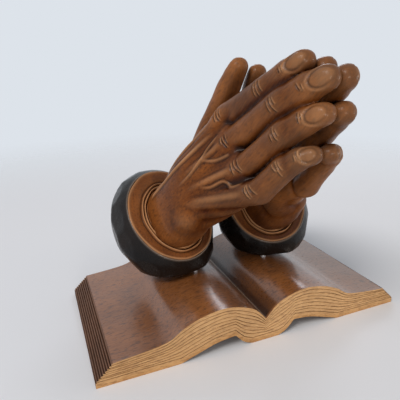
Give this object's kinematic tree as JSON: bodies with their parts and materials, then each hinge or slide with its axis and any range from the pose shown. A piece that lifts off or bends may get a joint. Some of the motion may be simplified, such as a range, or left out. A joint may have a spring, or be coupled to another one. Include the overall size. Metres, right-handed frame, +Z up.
{
  "type": "praying hands statue",
  "caption": "Carved wooden statue of praying hands leaning forward from turned sleeves, each on a short steel pin above the pages of an open wooden book.",
  "frame": {"origin": "on the table under the middle of the book's spine", "axes": "+X towards the open book's right page as seen from the front, along its longest side; +Y along the spine towards the back, away from the fingertips; +Z up"},
  "size_m": [0.28, 0.2205, 0.2271],
  "materials": {
    "book_wood": "glossy varnish on a mid brown hardwood, paler and golden on the carved edges",
    "hand_wood": "satin varnish on a warm red-brown hardwood, with the outside of the sleeves stained black",
    "steel": "bright drawn steel"
  },
  "bodies": {
    "root": {"book_base": "book_wood", "right_hand": "hand_wood", "left_hand": "hand_wood", "right_pin": "steel", "left_pin": "steel"}
  },
  "joints": []
}
